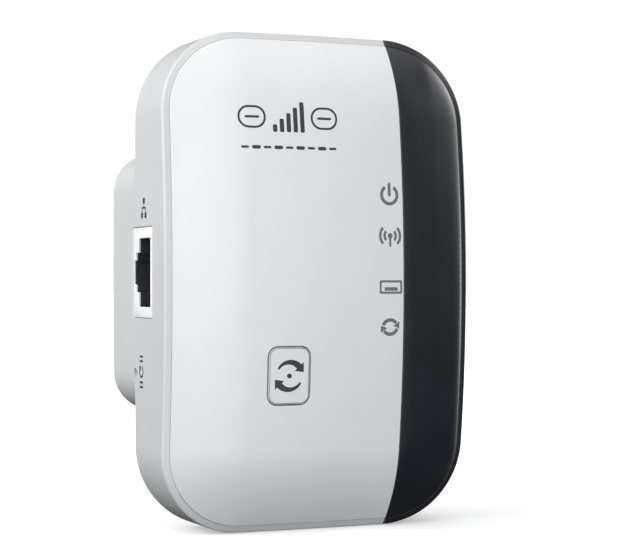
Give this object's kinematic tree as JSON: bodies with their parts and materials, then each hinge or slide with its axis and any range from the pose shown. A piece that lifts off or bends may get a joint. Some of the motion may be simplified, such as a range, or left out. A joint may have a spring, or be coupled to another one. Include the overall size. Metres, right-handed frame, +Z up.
{
  "type": "wifi range extender",
  "caption": "Wall-plug wifi range extender: domed white cover with a dark side strip, push button, side network jack, pin-hole reset and a plug block with contact pins at the back.",
  "frame": {"origin": "centre of the plug block's rear face, the face that rests on the wall plate", "axes": "+X to the right seen from the front, +Y towards the wall (the plug pins point along +Y), +Z up; the domed front faces -Y"},
  "size_m": [0.0574, 0.0699, 0.087],
  "materials": {
    "housing_white": "moulded light grey-white, satin gloss",
    "cover_white": "high gloss white",
    "trim_black": "high gloss black",
    "button_white": "gloss white",
    "plug_insert": "moulded, light grey",
    "pin_metal": "nickel plated",
    "pin_sleeve": "black insulating sleeve",
    "label_silver": "blank foil label",
    "jack_white": "white moulded",
    "jack_dark": "dark moulded",
    "gold": "gold plated",
    "board_green": "solder mask",
    "board_tan": "laminate",
    "chip_black": "moulded epoxy",
    "tinned": "tinned",
    "steel": "zinc plated",
    "ferrite": "sintered ferrite",
    "tape_yellow": "polyester tape",
    "bobbin": "moulded",
    "cap_sleeve": "shrink sleeve",
    "ceramic": "fired",
    "resistor": "glazed",
    "blue_disc": "epoxy coated",
    "clear_guide": "clear moulded",
    "led_body": "clear resin",
    "cable_black": "jacketed",
    "cable_red": "insulated",
    "copper": "bare copper",
    "sheet_white": "film",
    "plunger_black": "moulded"
  },
  "bodies": {
    "extender": {"rear_housing": "housing_white", "front_cover": "cover_white", "side_trim": "trim_black", "wps_switch_base": "chip_black", "wps_switch_cover": "steel", "wps_switch_dome": "steel", "wps_switch_terminals": "tinned", "reset_switch_base": "chip_black", "reset_switch_cover": "steel", "reset_switch_dome": "steel", "reset_switch_terminals": "tinned", "reset_switch_bracket": "bobbin", "plug_nose": "plug_insert", "plug_pin_left": "pin_metal", "plug_pin_right": "pin_metal", "pin_sleeves": "pin_sleeve", "rating_label": "label_silver", "rj45_jack_body": "jack_white", "rj45_jack_liner": "jack_dark", "rj45_contacts": "gold", "main_board": "board_green", "wifi_soc": "chip_black", "memory_chip": "chip_black", "flash_chip": "chip_black", "chip_leads": "tinned", "rf_shield": "tinned", "crystal": "steel", "ethernet_transformer": "chip_black", "power_inductor": "ferrite", "status_leds": "led_body", "light_guide": "clear_guide", "chip_resistors": "resistor", "ceramic_capacitors": "ceramic", "board_screws": "steel", "housing_screws": "steel", "antenna_left": "board_green", "antenna_right": "board_green", "antenna_traces": "copper", "coax_cables": "cable_black", "power_board": "board_tan", "transformer_core": "ferrite", "transformer_winding": "tape_yellow", "transformer_bobbin": "bobbin", "transformer_pins": "tinned", "bulk_capacitors": "cap_sleeve", "output_capacitors": "cap_sleeve", "fuse": "bobbin", "bridge_rectifier": "chip_black", "power_controller": "chip_black", "output_diode": "chip_black", "y_capacitor": "blue_disc", "input_choke": "ferrite", "link_header": "bobbin", "link_pins": "gold", "mains_leads": "cable_red", "insulation_sheet": "sheet_white"},
    "wps_button_body": {"wps_button": "button_white"},
    "wps_plunger_body": {"wps_switch_plunger": "plunger_black"},
    "reset_plunger_body": {"reset_switch_plunger": "plunger_black"}
  },
  "joints": [
    {"name": "wps_press", "type": "slide", "parent": "extender", "child": "wps_button_body", "axis": [0, 1, 0], "range_m": [0, 0.00025]},
    {"name": "wps_plunger_travel", "type": "slide", "parent": "extender", "child": "wps_plunger_body", "axis": [0, 1, 0], "range_m": [0, 0.00025]},
    {"name": "reset_press", "type": "slide", "parent": "extender", "child": "reset_plunger_body", "axis": [1, 0, 0], "range_m": [0, 0.00025]}
  ],
  "couplings": [
    {"joint": "wps_plunger_travel", "follows": "wps_press", "ratio": 1}
  ]
}
